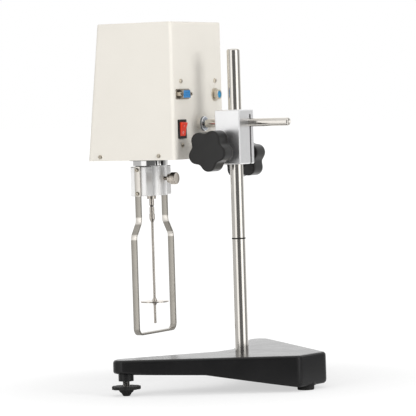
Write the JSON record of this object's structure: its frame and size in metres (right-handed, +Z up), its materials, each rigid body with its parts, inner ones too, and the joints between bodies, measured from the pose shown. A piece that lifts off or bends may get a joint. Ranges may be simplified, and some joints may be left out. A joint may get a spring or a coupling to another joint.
{
  "type": "rotational viscometer",
  "caption": "Benchtop rotational viscometer: a boxy drive head on a horizontal rod, clamped to a column on a spread cast foot, with a disc spindle inside a strip guard.",
  "frame": {"origin": "on the floor, at the middle of the whole footprint", "axes": "+Z up along the column; the head's front faces -Y and its rear panel and the rod's free end face +Y"},
  "size_m": [0.3016, 0.2866, 0.4413],
  "materials": {
    "base_paint": "satin black stove enamel",
    "rubber": "matt",
    "zinc_steel": "zinc plated",
    "nickel_steel": "ground and nickel plated",
    "stainless": "polished",
    "satin_aluminium": "bead blasted and anodised",
    "dark_bolt": "blackened",
    "black_plastic": "satin moulded phenolic",
    "chrome_bush": "polished",
    "cover_paint": "warm ivory fine texture",
    "dark_steel": "passivated sheet",
    "plated_screw": "nickel plated",
    "sheet_aluminium": "mill finish",
    "shell_metal": "tin plated",
    "blue_plastic": "moulded",
    "socket_metal": "nickel plated",
    "red_plastic": "moulded, slightly glowing",
    "window_plastic": "tinted clear acrylic",
    "display_green": "display glass and board",
    "keypad_film": "textured membrane",
    "board_green": "solder mask",
    "brass": "machined",
    "vial_glass": "clear acrylic with spirit",
    "motor_black": "black enamel",
    "disc_metal": "etched",
    "bearing_steel": "ground",
    "spring_bronze": "drawn strip",
    "jewel_red": "synthetic ruby in its setting",
    "neck_polish": "polished stainless",
    "guard_nickel": "nickel plated strip"
  },
  "bodies": {
    "base": {"base_casting": "base_paint", "rear_foot": "rubber"},
    "foot_near": {"foot_stud_near": "zinc_steel", "foot_wheel_near": "black_plastic"},
    "foot_far": {"foot_stud_far": "zinc_steel", "foot_wheel_far": "black_plastic"},
    "column": {"column": "stainless", "column_ring": "rubber", "column_bolt": "dark_bolt", "column_washer": "zinc_steel"},
    "clamp": {"clamp_block": "satin_aluminium"},
    "column_knob": {"column_knob": "black_plastic", "column_knob_stud": "zinc_steel"},
    "rod_knob": {"rod_knob": "black_plastic", "rod_knob_stud": "zinc_steel"},
    "rod": {"support_rod": "stainless", "rod_lock_nut": "zinc_steel"},
    "head": {"rod_bush": "chrome_bush", "housing": "cover_paint", "bottom_plate": "dark_steel", "side_screws": "plated_screw", "rear_screws": "plated_screw", "chassis": "sheet_aluminium", "dsub_shell": "shell_metal", "dsub_insert": "blue_plastic", "dsub_jackscrews": "zinc_steel", "round_socket": "socket_metal", "round_insert": "blue_plastic", "switch_body": "black_plastic", "display_window": "window_plastic", "display_module": "display_green", "keypad": "keypad_film", "circuit_board": "board_green", "board_standoffs": "brass", "level_cup": "black_plastic", "level_vial": "vial_glass", "motor": "motor_black", "upper_plate": "sheet_aluminium", "pillars": "zinc_steel", "drive_bearing": "bearing_steel", "sensor_bracket": "sheet_aluminium", "sensors": "black_plastic", "neck": "neck_polish", "jewel_bearing": "jewel_red"},
    "switch_rocker": {"switch_rocker": "red_plastic"},
    "drive": {"drive_gear": "brass", "drive_disc": "disc_metal"},
    "pinion": {"motor_pinion": "brass"},
    "spindle": {"pivot_shaft": "stainless", "pivot_disc": "disc_metal", "hairspring": "spring_bronze", "spindle_coupling": "nickel_steel", "spindle": "stainless"},
    "guard": {"guard_holder": "satin_aluminium", "guard": "guard_nickel", "guard_screws": "plated_screw"},
    "thumb_screw": {"thumb_screw": "nickel_steel"}
  },
  "joints": [
    {"name": "foot_near_turn", "type": "hinge", "parent": "base", "child": "foot_near", "pos_m": [0.13384, -0.05136, 0.01], "axis": [0, 0, 1], "range_deg": [-1080, 1080]},
    {"name": "foot_far_turn", "type": "hinge", "parent": "base", "child": "foot_far", "pos_m": [-0.13384, -0.01612, 0.01], "axis": [0, 0, 1], "range_deg": [-1080, 1080]},
    {"name": "column_swivel", "type": "hinge", "parent": "base", "child": "column", "pos_m": [0.00933, 0.03715, 0.028], "axis": [0, 0, 1], "range_deg": [-25, 25]},
    {"name": "clamp_height", "type": "slide", "parent": "column", "child": "clamp", "axis": [0, 0, 1], "range_m": [-0.055, 0.06]},
    {"name": "column_knob_turn", "type": "hinge", "parent": "clamp", "child": "column_knob", "pos_m": [0.02133, 0.02065, 0.2855], "axis": [1, 0, 0], "range_deg": [-360, 45]},
    {"name": "rod_knob_turn", "type": "hinge", "parent": "clamp", "child": "rod_knob", "pos_m": [-0.01467, 0.02285, 0.274], "axis": [-1, 0, 0], "range_deg": [-360, 45]},
    {"name": "rod_reach", "type": "slide", "parent": "clamp", "child": "rod", "axis": [0, 1, 0], "range_m": [-0.045, 0.01]},
    {"name": "head_tilt", "type": "hinge", "parent": "rod", "child": "head", "pos_m": [-0.00567, -0.02135, 0.317], "axis": [0, 1, 0], "range_deg": [-10, 10]},
    {"name": "switch_rock", "type": "hinge", "parent": "head", "child": "switch_rocker", "pos_m": [0.03733, -0.02035, 0.3115], "axis": [1, 0, 0], "range_deg": [0, 26]},
    {"name": "drive_turn", "type": "hinge", "parent": "head", "child": "drive", "pos_m": [-0.00567, -0.09135, 0.35], "axis": [0, 0, 1], "continuous": true},
    {"name": "pinion_turn", "type": "hinge", "parent": "head", "child": "pinion", "pos_m": [-0.00567, -0.06123, 0.35], "axis": [0, 0, 1], "continuous": true},
    {"name": "spindle_turn", "type": "hinge", "parent": "head", "child": "spindle", "pos_m": [-0.00567, -0.09135, 0.23], "axis": [0, 0, 1], "continuous": true},
    {"name": "guard_slide", "type": "slide", "parent": "head", "child": "guard", "axis": [0, 0, -1], "range_m": [0, 0.04]},
    {"name": "thumb_screw_turn", "type": "hinge", "parent": "guard", "child": "thumb_screw", "pos_m": [-0.00567, -0.06035, 0.25122], "axis": [0, 1, 0], "range_deg": [-720, 45]}
  ],
  "couplings": [
    {"joint": "pinion_turn", "follows": "drive_turn", "ratio": -3},
    {"joint": "spindle_turn", "follows": "drive_turn", "ratio": 1}
  ]
}
